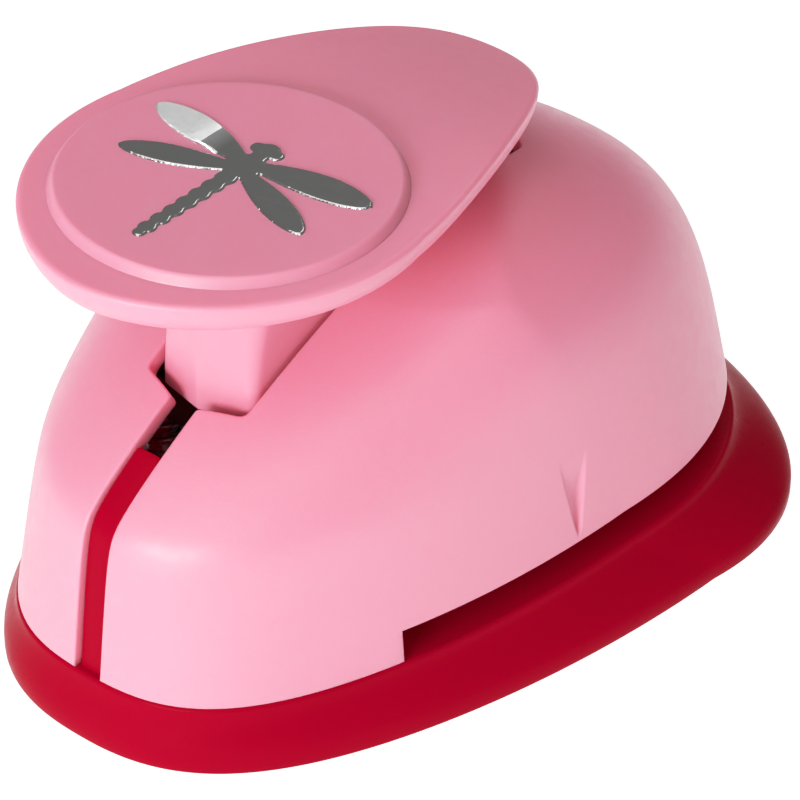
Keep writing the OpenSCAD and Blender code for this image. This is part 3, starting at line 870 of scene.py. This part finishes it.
def build_emblem():
    """The dragonfly as a low relief whose rim rolls down to the insert."""
    pitch, rim, height = 0.09, 0.26, 0.2
    xs = np.arange(-15, 15 + pitch, pitch)
    ys = np.arange(-14, 8 + pitch, pitch)
    points = np.stack(np.meshgrid(xs, ys), -1).reshape(-1, 2)
    d = dragonfly_distance(points)
    small = 1e-3
    slope = np.stack([dragonfly_distance(points + step) - dragonfly_distance(points - step)
                      for step in ([small, 0], [0, small])], -1) / (2 * small)
    # grid points next to the outline move onto it
    near = np.abs(d) < pitch * 0.75
    size = np.maximum((slope ** 2).sum(1, keepdims=True), 0.25)
    points = np.where(near[:, None], points - d[:, None] * slope / size, points)
    d = np.where(near, 0, d)
    depth = np.clip(-d / rim, 0, 1)
    z = DISC_UP + height * np.sqrt(np.clip(1 - (1 - depth) ** 2, 0, 1)) - 0.01
    nx, ny = len(xs), len(ys)
    keep = (d <= 0).reshape(ny, nx)
    faces = []
    for j, i in zip(*np.nonzero(keep[:-1, :-1] & keep[1:, :-1] & keep[:-1, 1:] & keep[1:, 1:])):
        a = j * nx + i
        faces.append((a, a + 1, a + nx + 1, a + nx))
    # triangles where only three corners are inside
    count = (keep[:-1, :-1].astype(int) + keep[1:, :-1] + keep[:-1, 1:] + keep[1:, 1:])
    for j, i in zip(*np.nonzero(count == 3)):
        ring = [(j, i), (j, i + 1), (j + 1, i + 1), (j + 1, i)]
        faces.append(tuple(r * nx + c for r, c in ring if keep[r, c]))
    verts, faces = compact(tilt(lift(points, z)), faces)
    obj = make("emblem_relief", verts, faces, FOIL, "lever", "foil")
    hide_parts("dragonfly_emblem")


# ---------------------------------------------------------------- return springs

WIRE_R = 0.4
COILS = 4


def build_spring(node):
    """A round wire coil that fills the spring node's box."""
    low, high = node_box(node)
    cx, cy = (low[:2] + high[:2]) / 2
    coil_r = (high[0] - low[0]) / 2 - WIRE_R
    tall = high[2] - low[2]
    sides = np.linspace(0, 2 * math.pi, 10, endpoint=False)
    rings = []
    for t in np.linspace(0, 1, 36 * COILS + 1):
        turn = 2 * math.pi * COILS * t
        r = coil_r + WIRE_R * np.cos(sides)
        z = low[2] + WIRE_R + (tall - 2 * WIRE_R) * t + WIRE_R * np.sin(sides)
        rings.append(np.stack([cx + r * math.cos(turn), cy + r * math.sin(turn), z], -1))
    verts, faces = capped(rings[::-1])
    obj = make(node + "_coil", verts, faces, WIRE, "body", "spring_wire")
    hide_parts(node)
    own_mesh(obj)


# ---------------------------------------------------------------- CAD nodes that stay

KEPT = {
    "chassis": STEEL, "pivot_pin": STEEL, "pivot_clips": DARK, "die_plate": STEEL,
    "stripper_plate": STEEL, "plate_spacers": STEEL, "guide_posts": TOOL, "post_clips": DARK,
    "ram_block": DARK, "punch_cutter": TOOL, "cutter_screws": DARK,
    "die_screws": DARK, "chassis_screws": DARK, "housing_screws": DARK,
}


def dress_cad_nodes():
    for name, material in KEPT.items():
        node = frame["nodes"][name]
        node.data.materials.clear()
        node.data.materials.append(material)


# ---------------------------------------------------------------- studio

AIM = Vector((0.0, 0.0036, 0.0135))
CAMERA_PLACE = (40.34, 37.1)   # azimuth and elevation that match the photograph's outlines
CAMERA_AWAY = 0.5224
CAMERA_LENS = 225.7


def direction(azimuth, elevation):
    """Unit vector from the object toward a place; azimuth 0 is the front, 90 is +X."""
    a, e = math.radians(azimuth), math.radians(elevation)
    return Vector((math.sin(a) * math.cos(e), -math.cos(a) * math.cos(e), math.sin(e)))


def build_camera():
    data = bpy.data.cameras.new("camera")
    camera = bpy.data.objects.new("camera", data)
    bpy.context.scene.collection.objects.link(camera)
    data.sensor_width = 36
    data.lens = CAMERA_LENS
    data.clip_start, data.clip_end = 0.01, 20
    back = direction(*CAMERA_PLACE)
    camera.location = AIM + back * CAMERA_AWAY
    camera.rotation_euler = (-back).to_track_quat("-Z", "Y").to_euler()
    bpy.context.scene.camera = camera


def softbox(name, azimuth, elevation, distance, width, height, power):
    """A rectangular light that faces the object."""
    data = bpy.data.lights.new(name, "AREA")
    data.shape = "RECTANGLE"
    data.size, data.size_y = width, height
    data.energy = power
    lamp = bpy.data.objects.new(name, data)
    bpy.context.scene.collection.objects.link(lamp)
    back = direction(azimuth, elevation)
    lamp.location = AIM + back * distance
    lamp.rotation_euler = (-back).to_track_quat("-Z", "Y").to_euler()


def build_floor():
    """A plain floor bright enough to clip to white."""
    half, n = 3.0, 24
    t = np.linspace(-half, half, n + 1)
    verts = [(x, y, 0.0) for y in t for x in t]
    faces = [(j * (n + 1) + i, j * (n + 1) + i + 1, (j + 1) * (n + 1) + i + 1,
              (j + 1) * (n + 1) + i) for j in range(n) for i in range(n)]
    mesh = bpy.data.meshes.new("floor")
    mesh.from_pydata(verts, [], faces)
    floor = bpy.data.objects.new("floor", mesh)
    bpy.context.scene.collection.objects.link(floor)
    material = bpy.data.materials.new("pale_floor")
    _, shader = nodes_of(material)
    shader.inputs["Base Color"].default_value = (0.3, 0.3, 0.3, 1)
    shader.inputs["Roughness"].default_value = 0.9
    shader.inputs["Emission Color"].default_value = (1, 1, 1, 1)
    shader.inputs["Emission Strength"].default_value = 1.25
    mesh.materials.append(material)


def tone_curve():
    """A bright exposure with a soft shoulder: whites clip, and pinks pale as they brighten."""
    view = bpy.context.scene.view_settings
    view.view_transform = "Standard"
    view.use_curve_mapping = True
    white = 1.4
    mapping = view.curve_mapping
    mapping.white_level = (white, white, white)
    curve = mapping.curves[3]
    curve.points[0].location = (0, 0)
    curve.points[-1].location = (1, 1)
    for light, shown in ((0.2, 0.19), (0.4, 0.41), (0.65, 0.64), (0.9, 0.8), (1.15, 0.92)):
        curve.points.new(light / white, shown)
    mapping.update()


def build_sky():
    """Even grey surroundings, slightly brighter above."""
    world = bpy.data.worlds.new("studio")
    bpy.context.scene.world = world
    world.use_nodes = True
    tree = world.node_tree
    sky = tree.nodes["Background"]
    coords = add(tree, "ShaderNodeTexCoord")
    split = add(tree, "ShaderNodeSeparateXYZ")
    tree.links.new(coords.outputs["Generated"], split.inputs["Vector"])
    height = ramp(tree, split.outputs["Z"], 0.28, 0.3, 0.15, 0.6)
    tree.links.new(height, sky.inputs["Strength"])
    sky.inputs["Color"].default_value = (1, 1, 1, 1)


def build_studio():
    tone_curve()
    build_camera()
    build_floor()
    softbox("top", 5, 66, 1.0, 1.1, 0.9, 5.4)
    softbox("front", 10, 18, 0.9, 0.4, 0.3, 8.6)
    softbox("foil_card", -158, 42, 0.9, 0.25, 0.25, 0.5)
    build_sky()


# ---------------------------------------------------------------- build

build_housing()
build_base()
build_lever()
build_disc()
build_emblem()
for side in ("left", "right"):
    build_spring("return_spring_" + side)
dress_cad_nodes()
build_studio()

bpy.context.view_layer.update()
